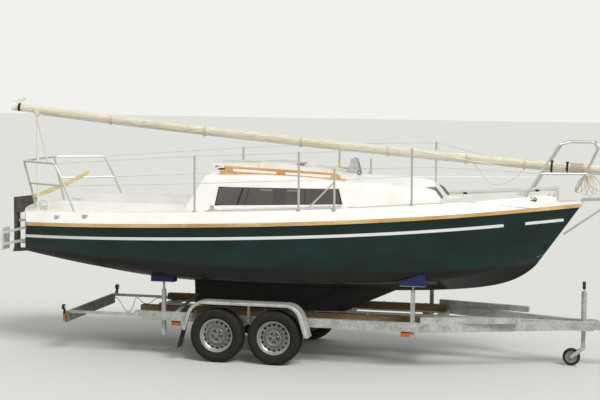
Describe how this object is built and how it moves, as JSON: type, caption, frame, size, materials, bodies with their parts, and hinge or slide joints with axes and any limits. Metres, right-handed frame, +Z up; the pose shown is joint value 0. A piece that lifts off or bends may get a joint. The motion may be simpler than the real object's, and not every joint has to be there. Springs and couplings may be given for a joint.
{
  "type": "sailboat",
  "caption": "Small cruising sailboat with coachroof, cockpit, rails and lowered mast, standing on a tandem-axle road trailer with jockey wheel, coupling, supports and light board.",
  "frame": {"origin": "on the ground under the middle of the overall length and width", "axes": "+X towards the bow, +Y to port, +Z up"},
  "size_m": [8.0703, 2.407, 2.957],
  "materials": {
    "topsides": "gloss gelcoat, dark green, near-black antifouling below the boot-top",
    "deckmould": "gelcoat, off-white",
    "glazing": "smoked acrylic",
    "varnish": "varnished hardwood",
    "weathered_wood": "weathered red-brown softwood",
    "anodised": "satin anodised",
    "stainless": "polished stainless steel",
    "galvanised": "dull hot-dip galvanised",
    "painted_steel": "grey painted steel",
    "keel_paint": "near-black antifouling over cast iron",
    "pad_rubber": "matt black rubber",
    "pad_blue": "matt dark blue",
    "tyre": "matt",
    "white_plastic": "white board and posts",
    "black_plastic": "matt black",
    "lamp_red": "red lens",
    "lamp_amber": "amber lens"
  },
  "bodies": {
    "boat_and_trailer": {"hull": "topsides", "deck": "deckmould", "keel": "keel_paint", "side_windows": "glazing", "front_windows": "glazing", "washboard": "varnish", "rub_strakes": "varnish", "handrails": "varnish", "mast": "anodised", "bow_fitting": "anodised", "pulpit": "stainless", "pushpit": "stainless", "stanchions": "stainless", "lifelines": "stainless", "mast_crutch": "white_plastic", "tabernacle": "painted_steel", "masthead": "black_plastic", "stays": "stainless", "foredeck_pole": "anodised", "pole_chocks": "varnish", "deck_hardware": "stainless", "clamp_screws": "galvanised", "outboard_pad": "white_plastic", "outboard_bracket": "anodised", "gudgeons": "stainless", "trailer_frame": "galvanised", "planks": "weathered_wood", "axle_front": "galvanised", "axle_rear": "galvanised", "mudguards": "galvanised", "mud_flaps": "pad_rubber", "support_posts": "galvanised", "support_pads": "pad_blue", "keel_guides": "galvanised", "jockey_tube": "galvanised", "jockey_clamp": "galvanised", "coupling": "galvanised", "bellows": "pad_rubber", "handbrake_lever": "painted_steel", "light_tubes": "galvanised", "light_board": "anodised", "tail_lamps": "lamp_red", "side_markers": "lamp_amber"},
    "wheel_front_port": {"rim_front_port": "galvanised", "tyre_front_port": "tyre"},
    "wheel_front_starboard": {"rim_front_starboard": "galvanised", "tyre_front_starboard": "tyre"},
    "wheel_rear_port": {"rim_rear_port": "galvanised", "tyre_rear_port": "tyre"},
    "wheel_rear_starboard": {"rim_rear_starboard": "galvanised", "tyre_rear_starboard": "tyre"},
    "hatch": {"companion_hatch": "deckmould"},
    "rudder_and_tiller": {"rudder": "anodised", "tiller": "varnish"},
    "jockey_leg": {"jockey_stem": "galvanised"},
    "jockey_swivel": {"jockey_fork": "galvanised"},
    "jockey_roller": {"jockey_wheel": "pad_rubber"}
  },
  "joints": [
    {"name": "roll_front_port", "type": "hinge", "parent": "boat_and_trailer", "child": "wheel_front_port", "pos_m": [-0.485, 0.895, 0.308], "axis": [0, 1, 0], "continuous": true},
    {"name": "roll_front_starboard", "type": "hinge", "parent": "boat_and_trailer", "child": "wheel_front_starboard", "pos_m": [-0.485, -0.895, 0.308], "axis": [0, 1, 0], "continuous": true},
    {"name": "roll_rear_port", "type": "hinge", "parent": "boat_and_trailer", "child": "wheel_rear_port", "pos_m": [-1.155, 0.895, 0.308], "axis": [0, 1, 0], "continuous": true},
    {"name": "roll_rear_starboard", "type": "hinge", "parent": "boat_and_trailer", "child": "wheel_rear_starboard", "pos_m": [-1.155, -0.895, 0.308], "axis": [0, 1, 0], "continuous": true},
    {"name": "hatch_slide", "type": "slide", "parent": "boat_and_trailer", "child": "hatch", "axis": [1, 0, 0], "range_m": [0, 0.54]},
    {"name": "rudder_turn", "type": "hinge", "parent": "boat_and_trailer", "child": "rudder_and_tiller", "pos_m": [-3.955, 0, 1.3], "axis": [0, 0, 1], "range_deg": [-30, 30]},
    {"name": "jockey_lift", "type": "slide", "parent": "boat_and_trailer", "child": "jockey_leg", "axis": [0, 0, 1], "range_m": [0, 0.15]},
    {"name": "jockey_steer", "type": "hinge", "parent": "jockey_leg", "child": "jockey_swivel", "pos_m": [2.888, 0, 0.214], "axis": [0, 0, 1], "continuous": true},
    {"name": "jockey_roll", "type": "hinge", "parent": "jockey_swivel", "child": "jockey_roller", "pos_m": [2.759, 0, 0.1], "axis": [0, 1, 0], "continuous": true}
  ]
}
